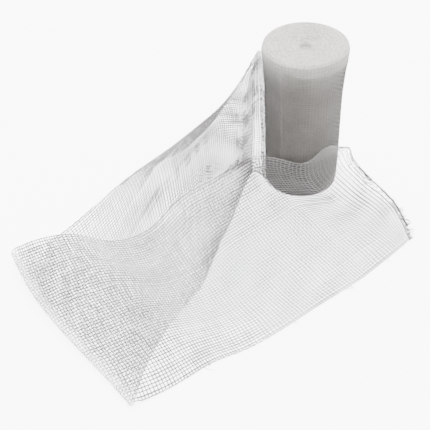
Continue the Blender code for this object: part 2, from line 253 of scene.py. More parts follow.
# Where the turns stand proud: above a height, inside a radius, and over how much that fades
RELIEF_ABOVE = 70 * MM
RELIEF_RADIUS = 18.4 * MM
RELIEF_OVER = 2 * MM
# How unevenly they do: the mean, and waves that run round and outwards
RELIEF_MEAN = 0.6
RELIEF_WAVES = named_rows(
    "amount round outwards",
    (0.4, 3, 900),
    (0.3, 7, -1700),
)
FOOT_KEPT = 2 * MM
DENT_LEAN = 0.12
# Shallow hollows of the wall: angle and height of the middle, how wide and tall, and how deep
DENTS = named_rows(
    "angle z wide tall deep",
    (-84, 30, 22, 3, 0.45),
    (-70, 36, 16, 2.4, 0.35),
    (-96, 44, 18, 3.4, 0.3),
    (-60, 20, 24, 4, 0.35),
    (-40, 48, 14, 6, 0.3),
)
# The innermost turns are pressed into the hole at the middle: out to what radius, and how high they stand
HOLE_REACH = 1.9 * MM
HOLE_FLOOR = 72.3 * MM
# Pits and swellings of the wound end, on its plan
END_MARKS = named_rows(
    "x y reach rise",
    (2.2, -3.6, 1.2, -0.55),
    (3.4, -5.2, 0.8, -0.5),
    (0.8, -4.8, 0.9, 0.25),
    (-1.6, 1.4, 1.2, 0.5),
    (2.8, 1, 1.7, 0.45),
    (-7, -3, 5, 0.35),
    (8, 5, 6, -0.3),
)

# The frayed cut: how far the loose ends of warp reach beyond it, from the lower to the upper selvedge
FRAY_REACH = named_rows(
    "at reach",
    (0, 1.6), (0.18, 2.4), (0.4, 3.8), (0.6, 5.4), (0.85, 6.4), (1, 5.2),
)
FRAY_POINTS = 10
FRAY_SEED = 21
FRAY_ROOT = -0.25
FRAY_UNEVEN = 0.12
FRAY_EVEN_FROM = 0.9
FRAY_SWING = 0.35
FRAY_WAVE = 0.3
FRAY_WAVES = (3, 7)
# How the loose ends of warp head on from the cut: read from how far back, how level, and how they sag
CUT_HEADING_FROM = 0.985
CUT_LEVEL = 0.4
CUT_SAG = 0.10
CUT_CORNER = 40 * MM
# Threads that have slipped off the cut and lie bunched along the arc: the share of the reach where each lies
SLIPPED = named_rows(
    "share from to wander",
    (0.97, 0.12, 1, 0.05),
    (0.9, 0.2, 1, 0.07),
    (1.04, 0.45, 0.98, 0.06),
    (0.55, 0.5, 0.99, 0.1),
    (0.18, 0, 1, 0.05),
)
SLIPPED_LOTS = 2
SLIPPED_POINTS = 60
SLIPPED_WAVES = (17, 41)
SLIPPED_SECOND = 0.6
SLIPPED_APART = 0.03
SLIPPED_RISE = 0.18 * MM
SLIPPED_RISES = 90
ANY_PHASE = (0, 6)
# The tuft at the lower selvedge: how many hairs, where across and beyond the cut they start, and how they lie
TUFT_HAIRS = 70
TUFT_FROM_TO = (0.0, 0.34)
TUFT_BEYOND = (0.1, 0.9)
TUFT_HEADING = math.radians(15)
TUFT_SPREAD = 0.75
TUFT_LENGTHS = (2.2, 5.2)
TUFT_BEND = 1.3
TUFT_CLIMB = 0.35
HAIR = 0.14 * MM
HAIR_POINTS = 8
HAIR_TIP = 0.5
HAIR_WAVES = 3
LEAST_HEIGHT = 0.25 * MM
STRAY_ACROSS = 0.004
STRAY_BACK = 0.01
STRAY_TURN = 60
STRAY_BEND = 1.2
# Stray hairs of the lower selvedge: where along the upper layer they start, how long and which way they lie
STRAY = named_rows(
    "along length turn",
    (0.19, 5, 20),
    (0.2, 3.2, -15),
    (0.64, 4.6, -35),
    (0.66, 3.4, 10),
    (0.83, 3, 25),
    (0.45, 2.4, -20),
)

# Where the upper layer begins along the cloth
UPPER_FROM = 0.5
# Where each change of painted light and shade or of thickness sets in and where it is full, in shares of the
# cloth or millimetres
FADES = {
    "turned back": (UPPER_FROM, 0.515),
    "close to the roll": (34.0, 22.0),
    "off the ground": (2.0, 10.0),
    "to the front": (-72.0, -112.0),
    "behind the selvedge": (-2.0, 5.0),
    "left the wall": (0.05, 0.07),
    "towards the crest": (0.58, 0.76),
    "over the curl": (0.84, 0.94),
    "beside the roll": (0.13, 0.09),
    "past the crease": (0.06, 0.066),
    "to the left": (0.2, 0.34),
    "foot of the crease": (40.0, 10.0),
    "rim": (58.0, 75.0),
    "upper part": (0.5, 0.75),
    "clear of the roll": (0.12, 0.17),
    "edge of the curl": (0.88, 1.0),
    "before the fold": (0.4, 0.3),
    "steep from": (0.12, 0.16),
    "higher": (0.35, 0.65),
    "off the wall": (0.034, 0.046),
    "up to the fold": (0.46, 0.4),
    "cut by the roll": (0.45, 0.85),
}
# The selvedge of the upper layer that shows over the lower one: where it is read along the cloth, how finely
SELVEDGE_SEEN = (0.95, 0.52)
SELVEDGE_POINTS = 80
# The line on the ground where the lower layer ends, past which the loose end lies single
FOLD_LINE_X = 76.0
FOLD_LINE_Y = 138.4
FOLD_LINE_SLOPE = 0.375
FOLD_LINE_SOFT = 4.0
# Slope of the sight line, by which the upper layer's edge stands over the lower layer
SEEN_SHIFT = 1.12
# Steep parts, where the threads close up: the sight line, and how nearly along the cloth it runs there
SEEN_ALONG = (0.0, 0.746, -0.666)
STEEP_FROM = 0.5
STEEP_TO = 0.12
# How pale steep parts are drawn, as painted light, and how much finer their threads are
PAINTED_LIGHT_STEEP = 0.5
FINER_STEEP = 0.35
# Painted light and shade of the loose end's threads, from 0 for the deepest painted shade to 1 for the
# palest: on top of the lower layer, single, to the front, over the roll, underneath, hanging, at the crest,
# to the left, over the curl, by the roll, at the crease, on the wall, at the rim, and at the cut
PAINTED_LIGHT_ON_TOP = 0.32
PAINTED_LIGHT_SINGLE = 0.0
PAINTED_LIGHT_FRONT = 0.3
PAINTED_LIGHT_OVER_ROLL = 0.5
PAINTED_LIGHT_UNDER = 0.95
PAINTED_LIGHT_HANGING = 0.0
PAINTED_LIGHT_CREST = 0.25
PAINTED_LIGHT_LEFT = 0.3
PAINTED_LIGHT_CURL = 0.6
PAINTED_LIGHT_BY_ROLL = 0.55
PAINTED_LIGHT_CREASE = 0.5
PAINTED_LIGHT_ON_WALL = 0.15
PAINTED_LIGHT_AT_RIM = 0.45
PAINTED_LIGHT_FRAY = 0.06
PAINTED_LIGHT_FRAY_BY_ROLL = 0.5
FRAY_STOUT = 0.8
FRAY_FINER = 0.38
CREASE_AT = 0.062
CREASE_REACH = 0.010
# Sizes of the lumps and fibres in the tones, and how deep they are
BROAD = 9 * MM
FLUFF = 0.35 * MM
FLUFF_DEPTH = 0.05 * MM
WOUND_BROAD = 7 * MM
WOUND_FINE = 0.5 * MM
WOUND_GRAIN = 1.1 * MM
WOUND_DEPTH = 0.22 * MM
LOOSE_SURFACE = {"Roughness": 0.92, "Specular_IOR_Level": 0.2, "Sheen_Weight": 0.08, "Sheen_Roughness": 0.5}
WOUND_SURFACE = {"Roughness": 0.93, "Specular_IOR_Level": 0.15, "Sheen_Weight": 0.2, "Sheen_Roughness": 0.5}
# The loose thread runs from a dark grey that stands for painted shade to the pale of bleached cotton
COTTON_PAINTED_SHADE = (0.070, 0.063, 0.063)
COTTON_PALE = (0.90, 0.885, 0.88)
# Height where the painted shade of the wall starts to give way to paler colour towards the rim, and over how
# much it does, in millimetres
RIM_FROM = 56.0
RIM_RISE = 19.0
RIM_POWER = 2.1
# The wound end: from what height, and out to what radius, in millimetres
END_FROM = 73.0
END_RADIUS = 19.0
PICKS_ROUND = 75
END_PITCH = 1.27
CLOSE_PITCH = 0.31
BAND_PITCH = 1.9
BAND_DRIFT = 2.2
STREAKS = {"turn": 3.0, "height": 1.3, "radius": 9.0}
# Up to what height the wall is drawn darker at the foot as painted shade, in millimetres, and how much
FOOT_SHADE = 26.0
FOOT_AMOUNT = 0.55
FOOT_KEEPS = 0.25
# The wall's colours are darker copies of the end's, painted shade, and darker still at the foot
SHADED_WALL_DULL = (0.185, 0.174, 0.163)
SHADED_WALL_PALE = (0.29, 0.276, 0.26)
WALL_FOOT_SHADE = (0.125, 0.117, 0.11)
END_DULL = (0.38, 0.36, 0.33)
END_PALE = (0.70, 0.68, 0.645)
# The outermost turn's colours: painted shade on the wall and at the foot, giving way to paler colour at the
# rim
WOUND_FOOT_SHADE = (0.135, 0.127, 0.12)
SHADED_WOUND_DULL = (0.20, 0.189, 0.178)
SHADED_WOUND_PALE = (0.30, 0.287, 0.272)
RIM_PALE = (0.50, 0.48, 0.45)

# Camera and light
LENS_MM = 89.3
SENSOR_MM = 36.0
CAMERA_AT = (-0.04215, -0.3988, 0.3317)
CAMERA_DOWN = math.radians(41.76)
CAMERA_ROLL = math.radians(-1.81)
FLOOR_SIZE = 6.0
FLOOR_LUMPS = 60 * MM
FLOOR_GLOW = 6.0
ROOM_LIGHT = 1.35
LAMP_AT = (0.15, 0.65, 1.2)
LAMP_AIM = (-0.03, -0.03, 0.0)
LAMP_SIZE = 2.0
LAMP_WATTS = 92.0
BLACK = (0.0, 0.0, 0.0)
WHITE = (1.0, 1.0, 1.0)
FLOOR_DULL = (0.93, 0.93, 0.93)
FLOOR_PALE = (0.95, 0.95, 0.95)


def through(rows, knots, places):
    """Smooth curve through rows that stand at the knots, read at the places. A row may hold many points."""
    slopes = np.gradient(rows, knots, axis=0)
    k = np.clip(np.searchsorted(knots, places, side="right") - 1, 0, len(knots) - 2)
    span = knots[k + 1] - knots[k]
    shape = (len(places),) + (1,) * (rows.ndim - 1)
    t = ((places - knots[k]) / span).reshape(shape)
    span = span.reshape(shape)
    rise = t * t * (3 - 2 * t)
    return (
        rows[k] * (1 - rise)
        + rows[k + 1] * rise
        + slopes[k] * span * t * (1 - t) ** 2
        - slopes[k + 1] * span * t * t * (1 - t)
    )


def smooth_rows(rows, count):
    """The rows of numbers read at count even steps from the smooth curve that passes through them."""
    rows = np.asarray(rows, float)
    gaps = np.linalg.norm(np.diff(rows, axis=0), axis=1)
    knots = np.concatenate([[0.0], np.cumsum(np.sqrt(gaps))])
    return through(rows, knots, np.linspace(0.0, knots[-1], count))


def even_points(line, count):
    """Points at even steps along a line of points."""
    gone = np.concatenate([[0.0], np.cumsum(np.linalg.norm(np.diff(line, axis=0), axis=1))])
    even = np.linspace(0.0, gone[-1], count)
    return np.stack([np.interp(even, gone, line[:, k]) for k in range(3)], axis=1)


def roll_radius(height):
    return np.interp(height, [row["z"] * MM for row in WALL], [row["r"] * MM for row in WALL])


def swung(start, run, share, swing, peak):
    """Points on the ground at each share of a run, pushed sideways. A peak of 1 pushes its middle most."""
    side = np.array([run[1], -run[0]]) / math.hypot(*run)
    return start + run * share + side * swing * np.sin(np.pi * share**peak)


def curled_over(rise, radius, over):
    """Where a line of weft lies that runs on from where its curl starts, turns over backwards and hangs."""
    if radius == 0:
        return rise * over
    turn = min(over / radius, FURTHEST_TURN)
    hanging = over - turn * radius
    reach = radius * (1 - math.cos(turn)) + hanging * math.sin(turn)
    lift = radius * math.sin(turn) + hanging * math.cos(turn)
    return rise * lift + np.array(CURL_BACK) * reach


def columns_across(share, curl):
    """Places of the columns on a line of weft: even on a plain one, closer on the curl of a curled one."""
    even = np.linspace(0.0, 1.0, ACROSS + 1)
    risen = np.linspace(0.0, share, ACROSS + 1 - CURL_COLUMNS)
    closer = np.concatenate([risen, np.linspace(share, 1.0, CURL_COLUMNS + 1)[1:]])
    amount = min(curl / FULL_CURL, 1.0)
    return even * (1 - amount) + closer * amount


def evened(grid):
    """The grid with its rows from the crease to the fold drawn a little towards their neighbours."""
    for _ in range(EVENING_ROUNDS):
        middle = (grid[EVENED_FROM - 1 : -2] + grid[EVENED_FROM + 1 :]) / 2
        grid[EVENED_FROM:-1] = (grid[EVENED_FROM:-1] + middle) / 2
    return grid


def paid_out_grid():
    """Points of the lower layer, a row for each line of weft and a column for each step across."""
    rows = smooth_rows(
        [(*r["foot"], *r["crest"], r["curl"], r["bow"], r["swell"]) for r in PAID_OUT], PAID_OUT_STEPS + 1
    )
    grid = np.zeros((len(rows), ACROSS + 1, 3))
    for i, (foot_x, foot_y, crest_x, crest_y, crest_z, curl, bow, swell) in enumerate(rows):
        curl = max(curl, 0.0)
        foot, run = np.array([foot_x, foot_y]), np.array([crest_x - foot_x, crest_y - foot_y])
        climb = math.hypot(*run, crest_z)
        radius = min(CURL_RADIUS, curl / 2)
        straight = 1 - radius / climb
        length = climb + curl
        share = (climb - radius) / length
        rise = np.array([*run, crest_z * bow])
        rise /= np.linalg.norm(rise)
        for j, across in enumerate(columns_across(share, curl)):
            t = min(across / share, 1.0) * straight
            grid[i, j, :2] = swung(foot, run, t, -swell, FOLD_SWING_PEAK)
            grid[i, j, 2] = crest_z * t**bow
            if across > share:
                grid[i, j] += curled_over(rise, radius, (across - share) * length)
    grid *= MM
    grid[:, :, 2] += SHEET / 2
    return evened(grid)


def crease_height(points):
    height = np.zeros(points.shape[:2])
    for row in CREASES:
        start, end = np.array(row["from"]) * MM, np.array(row["to"]) * MM
        run = end - start
        t = np.clip((points[:, :, :2] - start) @ run / (run @ run), 0.0, 1.0)
        away = np.linalg.norm(points[:, :, :2] - start - t[:, :, None] * run, axis=2)
        fade = np.sin(np.pi * (CREASE_FADE + (1 - 2 * CREASE_FADE) * t))
        height += row["rise"] * MM * fade * np.exp(-((away / (row["reach"] * MM)) ** 2))
    return height


def under(points, lower):
    """Height that each point of the upper layer needs over the lower one, or over the surface beside it."""
    spots = lower
    for axis in (0, 1):
        count = spots.shape[axis]
        places = np.linspace(0, count - 1, (count - 1) * FINER + 1)
        start = np.minimum(places.astype(int), count - 2)
        share = np.expand_dims(places - start, (1 - axis, 2))
        spots = np.take(spots, start, axis) * (1 - share) + np.take(spots, start + 1, axis) * share
    spots = spots.reshape(-1, 3)
    spots = spots[(spots[:, 2] < LAID_OVER_TOP) & (spots[:, 1] < LAID_OVER_BACK)]
    found = np.full(points.shape[:2], SHEET / 2)
    for i, row in enumerate(points):
        away = np.linalg.norm(row[:, None, :2] - spots[None, :, :2], axis=2)
        near = np.where(away < LAYER_PITCH, spots[None, :, 2] + LAYER_PITCH, SHEET / 2)
        found[i] = near.max(axis=1)
    return found


def turned_up_line(hem, edge, on, bulge, lean):
    """Even points of a line of weft that runs flat, turns up to its edge and goes on round the roll."""
    run = edge[:2] - hem
    t = np.linspace(0.0, 1.0, LINE_POINTS)
    along = (1 - (1 - t) ** lean)[:, None]
    peak = FOLD_SWING_PEAK if bulge < 0 else CUT_SWING_PEAK
    line = np.zeros((LINE_POINTS, 3))
    line[:, :2] = swung(hem, run, along, bulge, peak)
    line[:, 2] = edge[2] * t ** (lean + LATE_RISE)
    line = np.concatenate([line, np.linspace(edge, edge + on, ON_POINTS)[1:]])
    return even_points(line, ACROSS + 1)


def off_the_roll(points):
    """The points with those that are too near the roll's wall moved straight out from it."""
    away = np.linalg.norm(points[:, :, :2], axis=2)
    least = roll_radius(points[:, :, 2]) + SHEET / 2 + OFF_THE_WALL
    points[:, :, :2] *= (np.maximum(away, least) / away)[:, :, None]
    return points


def turned_back_grid(lower):
    """Points of the upper layer, laid loosely over the lower one and up against the roll."""
    rows = smooth_rows(
        [(*r["hem"], *r["edge"], *r["on"], r["bulge"], LEAN_WEIGHT * r["lean"]) for r in TURNED_BACK],
        TURNED_BACK_STEPS + 1,
    )
    grid = np.zeros((len(rows), ACROSS + 1, 3))
    for i, row in enumerate(rows):
        grid[i] = turned_up_line(row[:2], row[2:5], row[5:8], row[8], row[9] / LEAN_WEIGHT)
    grid = off_the_roll(grid * MM)
    grid[:, :, 2] += SHEET / 2
    needed = np.maximum(under(grid, lower) - grid[:, :, 2], 0.0)
    lift = needed.copy()
    for _ in range(SPREAD_ROUNDS):
        padded = np.pad(lift, 1, mode="edge")
        middle = (padded[:-2, 1:-1] + padded[2:, 1:-1] + padded[1:-1, :-2] + padded[1:-1, 2:]) / 4
        lift = np.maximum(needed, middle)
        lift[:, 0] = needed[:, 0]
    grid[:, :, 2] += lift + crease_height(grid)
    return grid


def fold_grid(lower_line, upper_line):
    """The half turn from the end of the lower layer to the start of the upper one."""
    along = lower_line[-1] - lower_line[0]
    out = np.array([along[1], -along[0], 0.0])
    out /= np.linalg.norm(out)
    middle = (lower_line + upper_line) / 2
    reach = (upper_line[:, 2] - lower_line[:, 2]) / 2
    turned = []
    for step in range(1, FOLD_STEPS):
        angle = math.pi * step / FOLD_STEPS
        outwards = FOLD_REACH * reach[:, None] * math.sin(angle) * out
        turned.append(middle - reach[:, None] * math.cos(angle) * UP - outwards)
    return np.array(turned)


def loose_end_grid():
    lower = paid_out_grid()
    upper = turned_back_grid(lower)
    lower_line = lower[-1]
    upper[0, :, :2] = lower_line[:, :2]
    upper[0, :, 2] = np.maximum(upper[0, :, 2], lower_line[:, 2] + LAYER_PITCH)
    return np.concatenate([lower, fold_grid(lower_line, upper[0]), upper])


def unit(vectors):
    return vectors / np.maximum(np.linalg.norm(vectors, axis=-1, keepdims=True), TINY)


def read(places, table, names, scale=1):
    """A column of a table, read at places between the values of another column."""
    known, wanted = (np.array([row[name] for row in table]) for name in names.split())
    return np.interp(places, known, wanted * scale)


class Cloth:
    """A lie of cloth as a fine table of points: along it from 0 to 1, and across it from 0 to 1."""

    def __init__(self, grid):
        even = []
        for row in grid:
            places = np.linspace(0, len(row) - 1, (len(row) - 1) * FINER_LINE + 1)
            line = through(row, np.arange(len(row), dtype=float), places)
            even.append(even_points(line, FINE_ACROSS + 1))
        even = np.array(even)
        steps = np.linalg.norm(np.diff(even, axis=0), axis=2).mean(axis=1)
        knots = np.concatenate([[0.0], np.cumsum(steps)])
        self.length = knots[-1]
        self.points = through(even, knots, np.linspace(0.0, knots[-1], FINE_ALONG + 1))
        along = np.gradient(self.points, axis=0)
        across = np.gradient(self.points, axis=1)
        self.normals = unit(np.cross(along, across))

    def at(self, along, across):
        a = np.clip(along, 0.0, 1.0) * FINE_ALONG
        b = np.clip(across, 0.0, 1.0) * FINE_ACROSS
        i = np.minimum(a.astype(int), FINE_ALONG - 1)
        j = np.minimum(b.astype(int), FINE_ACROSS - 1)
        s, t = (a - i)[..., None], (b - j)[..., None]
        found = []
        for table in (self.points, self.normals):
            low = table[i, j] * (1 - t) + table[i, j + 1] * t
            high = table[i + 1, j] * (1 - t) + table[i + 1, j + 1] * t
            found.append(low * (1 - s) + high * s)
        return found[0], unit(found[1])


def drift(a, b, waves, seed):
    """Smooth uneven field of a and b between about -1 and 1, summed from waves of the given lengths."""
    rng = np.random.default_rng(seed)
    total = np.zeros(np.broadcast(a, b).shape)
    for length in waves:
        for _ in range(DRIFT_HEADINGS):
            turn = rng.uniform(0, math.tau)
            phase = rng.uniform(0, math.tau)
            total += np.sin(math.tau * (a * math.cos(turn) + b * math.sin(turn)) / length + phase)
    return total / (DRIFT_SCALE * len(waves))


def tubes(paths, normals, radii, painted_light):
    """Closed three-sided threads along paths, which are threads by points by xyz: points, faces, painted
    light and shade.
    """
    count, steps = paths.shape[:2]
    tangent = unit(np.gradient(paths, axis=1))
    side = unit(np.cross(tangent, normals))
    up = np.cross(side, tangent)
    radii = np.broadcast_to(radii, (count, steps))[..., None]
    ring = []
    for corner in range(3):
        angle = math.radians(90 + 120 * corner)
        ring.append(paths + radii * (up * math.sin(angle) + side * math.cos(angle)))
    points = np.stack(ring, axis=2).reshape(-1, 3)
    start = (np.arange(count) * steps * 3)[:, None]
    ringed = start + np.arange(steps - 1)[None, :] * 3
    sides = []
    for corner in range(3):
        after = (corner + 1) % 3
        corners = [ringed + corner, ringed + 3 + corner, ringed + 3 + after, ringed + after]
        sides.append(np.stack(corners, axis=2))
    quads = np.concatenate([s.reshape(-1, 4) for s in sides])
    first = start + np.array([0, 1, 2])
    last = start + (steps - 1) * 3 + np.array([2, 1, 0])
    light_paint = np.repeat(np.broadcast_to(painted_light, (count, steps)).reshape(-1), 3)
    return points, quads.tolist() + np.concatenate([first, last]).tolist(), light_paint


def piece_of(name, parts, finish):
    """One mesh piece joined from several lots of points, faces and painted light and shade."""
    points, faces, light_paint, done = [], [], [], 0
    for lot, lot_faces, lot_light_paint in parts:
        points.append(lot)
        light_paint.append(lot_light_paint)
        faces += [[k + done for k in face] for face in lot_faces]
        done += len(lot)
    mesh = bpy.data.meshes.new(name)
    mesh.from_pydata(np.concatenate(points).tolist(), [], faces)
    mesh.attributes.new("painted_light", "FLOAT", "POINT").data.foreach_set("value", np.concatenate(light_paint))
    mesh.shade_smooth()
    mesh.materials.append(finish)
    return placed(name, mesh)


def placed(name, data):
    """A new object of the scene with that mesh, lamp or camera."""
    thing = bpy.data.objects.new(name, data)
    bpy.context.scene.collection.objects.link(thing)
    return thing


def smooth_step(value, low, high):
    t = np.clip((value - low) / (high - low), 0.0, 1.0)
    return t * t * (3 - 2 * t)


def faded(value, name):
    """0 before the named change sets in, 1 where it is full, and smooth between."""
    return smooth_step(value, *FADES[name])


def towards(value, goal, share):
    return value + (goal - value) * share


def covered_share(cloth, x, seen):
    """How surely a point lies behind the upper layer, from the selvedge that shows over the lower one."""
    along = np.linspace(*SELVEDGE_SEEN, SELVEDGE_POINTS)
    selvedge, _ = cloth.at(along, np.ones(SELVEDGE_POINTS))
    line = selvedge[:, :2] / MM
    line[:, 1] += selvedge[:, 2] / MM * SEEN_SHIFT
    order = np.argsort(line[:, 0])
    return faded(np.interp(x, line[order, 0], line[order, 1]) - seen, "behind the selvedge")


def under_painted_light(along, across, z, covered):
    """The painted light and shade of the lower layer: hanging, under the upper layer, at its crease and on
    the roll's wall.
    """
    light_paint = towards(PAINTED_LIGHT_HANGING, PAINTED_LIGHT_CREST, faded(across, "towards the crest"))
    light_paint = towards(light_paint, PAINTED_LIGHT_CURL, faded(across, "over the curl"))
    light_paint = towards(light_paint, PAINTED_LIGHT_BY_ROLL, faded(along, "beside the roll") * faded(along, "past the crease"))
    light_paint = towards(light_paint, PAINTED_LIGHT_LEFT, faded(along, "to the left"))
    light_paint = towards(light_paint, PAINTED_LIGHT_UNDER, covered)
    crease = np.exp(-(((along - CREASE_AT) / CREASE_REACH) ** 2)) * faded(z, "foot of the crease")
    light_paint = towards(light_paint, PAINTED_LIGHT_CREASE, crease)
    on_wall = smooth_step(along, CREASE_AT - CREASE_REACH, CREASE_AT / 2)
    return towards(light_paint, towards(PAINTED_LIGHT_ON_WALL, PAINTED_LIGHT_AT_RIM, faded(z, "rim")), on_wall)


def spaced_fineness(cloth, along, across, fine, covered):
    """The fineness with the threads sized, off the wall, by the gaps that are seen between them."""
    spacing = seen_spacing(cloth, along, across)
    open_share = read(along, SEEN_OPEN, "at open")
    gap = np.sqrt(read(across, SPREAD, "across gap"))
    spread = spacing * towards(1, gap, hanging_share(along))
    hung = spread * (1 - np.sqrt(open_share)) / (THREAD * THREAD_WIDTH)
    stoutest = towards(STOUTEST_LOW, STOUTEST_HUNG, faded(across, "higher"))
    off_wall = faded(along, "off the wall") * faded(along, "up to the fold") * (1 - covered)
    fine = towards(fine, np.clip(hung, FINEST_HUNG, stoutest), off_wall)
    flat = spacing * (1 - math.sqrt(FLAT_OPEN)) / (THREAD * THREAD_WIDTH)
    return np.where(along > UPPER_FROM, np.minimum(fine, np.maximum(flat, FINEST_FLAT)), fine)


def loose_tones(cloth, along, across):
    """How pale and how fine the loose end's threads are: painted light and shade, dull where single or on
    top, pale underneath.
    """
    points, normals = cloth.at(along, across)
    x, y, z = points[..., 0] / MM, points[..., 1] / MM, points[..., 2] / MM
    upper = faded(along, "turned back")
    past_fold = x + FOLD_LINE_X - (y + FOLD_LINE_Y) * FOLD_LINE_SLOPE
    single = smooth_step(past_fold, -FOLD_LINE_SOFT, FOLD_LINE_SOFT)
    near_roll = faded(np.hypot(x, y), "close to the roll") * faded(z, "off the ground")
    covered = covered_share(cloth, x, y + z * SEEN_SHIFT) * faded(along, "left the wall")
    # Painted shade on the upper layer, deepest where it lies single, lifted towards the front and over the
    # roll
    on_top = towards(PAINTED_LIGHT_ON_TOP, PAINTED_LIGHT_SINGLE, single)
    on_top = on_top + (PAINTED_LIGHT_FRONT - PAINTED_LIGHT_SINGLE) * single * faded(y, "to the front")
    on_top = towards(on_top, PAINTED_LIGHT_OVER_ROLL, near_roll)
    light_paint = towards(under_painted_light(along, across, z, covered), on_top, upper)
    fine = read(along, FINENESS, "at size")
    fine = towards(fine, 1, faded(across, "upper part") * faded(along, "clear of the roll"))
    fine = fine * (1 - FINER_UNDER * covered * (1 - upper)) * (1 - FINER_OVER_ROLL * near_roll * upper)
    fine = fine * (1 - FINER_CURL * faded(across, "edge of the curl") * faded(along, "before the fold"))
    # Paler where the cloth is seen nearly edge on, as painted light, and finer there
    steep = smooth_step(np.abs(normals @ np.array(SEEN_ALONG)), STEEP_FROM, STEEP_TO)
    steep = steep * faded(along, "steep from")
    light_paint = towards(light_paint, PAINTED_LIGHT_STEEP, steep)
    fine = fine * (1 - FINER_STEEP * steep)
    return light_paint, spaced_fineness(cloth, along, across, fine, covered)


def hanging_share(along):
    rise = np.clip((along - RIPPLED[0]) / RIPPLED_OVER[0], 0, 1)
    return rise * np.clip((RIPPLED[1] - along) / RIPPLED_OVER[1], 0, 1)


def seen_spacing(cloth, along, across):
    """How far apart the threads stand as seen along the sight line, the mean of both ways."""
    half_pick, half_end = 0.5 / PICKS, 0.5 / WARP_ENDS
    sight = np.array(SEEN_ALONG)
    run = cloth.at(along + half_pick, across)[0] - cloth.at(along - half_pick, across)[0]
    rise = cloth.at(along, across + half_end)[0] - cloth.at(along, across - half_end)[0]
    seen = np.abs(np.cross(run, rise) @ sight)
    run_seen = np.linalg.norm(np.cross(run, sight), axis=-1)
    rise_seen = np.linalg.norm(np.cross(rise, sight), axis=-1)
    return seen / np.sqrt(np.maximum(run_seen * rise_seen, TINY))


def plain_tones(cloth, along, across):
    shape = np.broadcast(along, across).shape
    return np.zeros(shape), np.ones(shape)


def weave(cloth, ends, picks, seed, thread, tones, ripple=0.0):
    """Warp and weft threads that pass over and under each other on a cloth."""
    rng = np.random.default_rng(seed)
    pick = (np.arange(picks) + 0.5) / picks
    end = (np.arange(ends) + 0.5) / ends
    along, across = np.meshgrid(pick, end, indexing="ij")
    a, b = along * picks, across * ends
    hanging = hanging_share(along)
    spread = read(across, SPREAD, "end across")
    across = across + (spread - across) * hanging * ripple
    uneven = drift(a * WAVE_ALONG, b * WAVE_ACROSS, WAVE_DRIFTS, seed + 6)
    waves = np.sin(math.tau * a / RIPPLE_PICKS + RIPPLE_UNEVEN * uneven)
    ripples = RIPPLE_WAVE * waves + RIPPLE_DRIFT * drift(a, b * RIPPLE_ACROSS, RIPPLE_DRIFTS, seed + 2)
    across = across + (
        rng.normal(0, END_JITTER, ends)[None, :]
        + END_WANDER * drift(a, b, END_DRIFTS, seed + 1)
        + hanging * ripple * ripples
    ) / ends
    along = along + (
        rng.normal(0, PICK_JITTER, picks)[:, None]
        + PICK_WANDER * (1 - EVENER_PICKS * hanging) * drift(a, b, PICK_DRIFTS, seed + 3)
    ) / picks
    trail = read(along, ASKEW, "at trail")
    along = along - trail * (1 - across) * ripple
    points, normals = cloth.at(along, across)
    over = ((np.arange(picks)[:, None] + np.arange(ends)[None, :]) % 2) * 2 - 1
    crimp = CRIMP * over[..., None] * normals
    slubs = 1 + SLUB * drift(a * SLUB_FINER, b * SLUB_FINER, SLUB_DRIFTS, seed + 5)
    light_paint, fine = tones(cloth, along, across)
    slubs = slubs * fine
    stouter = (slubs * (1 + WARP_STOUTER * (1 - hanging) * ripple)).T
    warp_radii = thread * stouter * rng.normal(1, END_UNEVEN, ends)[:, None]
    warp = tubes((points + crimp).transpose(1, 0, 2), normals.transpose(1, 0, 2), warp_radii, light_paint.T)
    finer = slubs * (1 - WEFT_FINER * ripple)
    weft_radii = thread * finer * rng.normal(1, PICK_UNEVEN, picks)[:, None]
    return warp, tubes(points - crimp, normals, weft_radii, light_paint)


def wall_offset(angle, height):
    """How far the wound body's wall stands out of round, with its shallow hollows."""
    out = OUT_OF_ROUND * (
        np.sin(2 * angle + LONG_SIDE_AT) + SECOND_WAVE * np.sin(3 * angle + height / WAVE_TURN)
    )
    for dent in DENTS:
        across = np.degrees(np.angle(np.exp(1j * (angle - math.radians(dent["angle"]))))) / dent["wide"]
        up = (height / MM - dent["z"] - DENT_LEAN * across * dent["wide"]) / dent["tall"]
        out = out - dent["deep"] * MM * np.exp(-(across**2) - up**2)
    return out


def outer_turn_cloth():
    """The last turn of the cloth on the roll, as a lie of cloth from foot to upper edge."""
    shares = np.linspace(0.0, 1.0, TURN_ROUND)
    tops = read(shares, TURN_TOP, "at z", MM)
    grid = np.zeros((TURN_ROUND, TURN_RISE, 3))
    for i, share in enumerate(shares):
        angle = TURN_START + TURN_SWEEP * share
        heights = np.linspace(TURN_FOOT, tops[i], TURN_RISE)
        leaving = TURN_LEAVING * max(0.0, 1.0 - share / TURN_LEAVING_SHARE) ** 2
        radius = roll_radius(heights) + wall_offset(angle, heights) + TURN_OFF_WALL + leaving
        grid[i, :, 0] = radius * math.cos(angle)
        grid[i, :, 1] = radius * math.sin(angle)
        grid[i, :, 2] = heights
    return Cloth(grid[::-1])


def body_profile():
    """The wound body's outline from the middle of its foot round the rim and down into the hole."""
    wall = smooth_rows([(r["r"], r["z"]) for r in WALL], WALL_STEPS + 1)
    end = smooth_rows([(r["r"], r["z"]) for r in (WALL[-1], *WOUND_END)], END_STEPS + 1)
    return [(0.0, 0.0), *wall, *end[1:], (0.0, WOUND_END[-1]["z"])]


def end_lift(x, y, radius, angle):
    """How far a point of the wound end stands above its smooth form: proud turns, pits and swellings."""
    turn = radius / TURN_PITCH - angle / math.tau
    uneven = RELIEF_MEAN
    for wave in RELIEF_WAVES:
        uneven += wave["amount"] * math.sin(wave["round"] * angle + wave["outwards"] * radius)
    lift = TURN_RELIEF * uneven * math.cos(math.tau * turn)
    for mark in END_MARKS:
        away = math.hypot(x / MM - mark["x"], y / MM - mark["y"]) / mark["reach"]
        lift += mark["rise"] * MM * math.exp(-(away**2))
    return lift * min(1.0, (RELIEF_RADIUS - radius) / RELIEF_OVER)


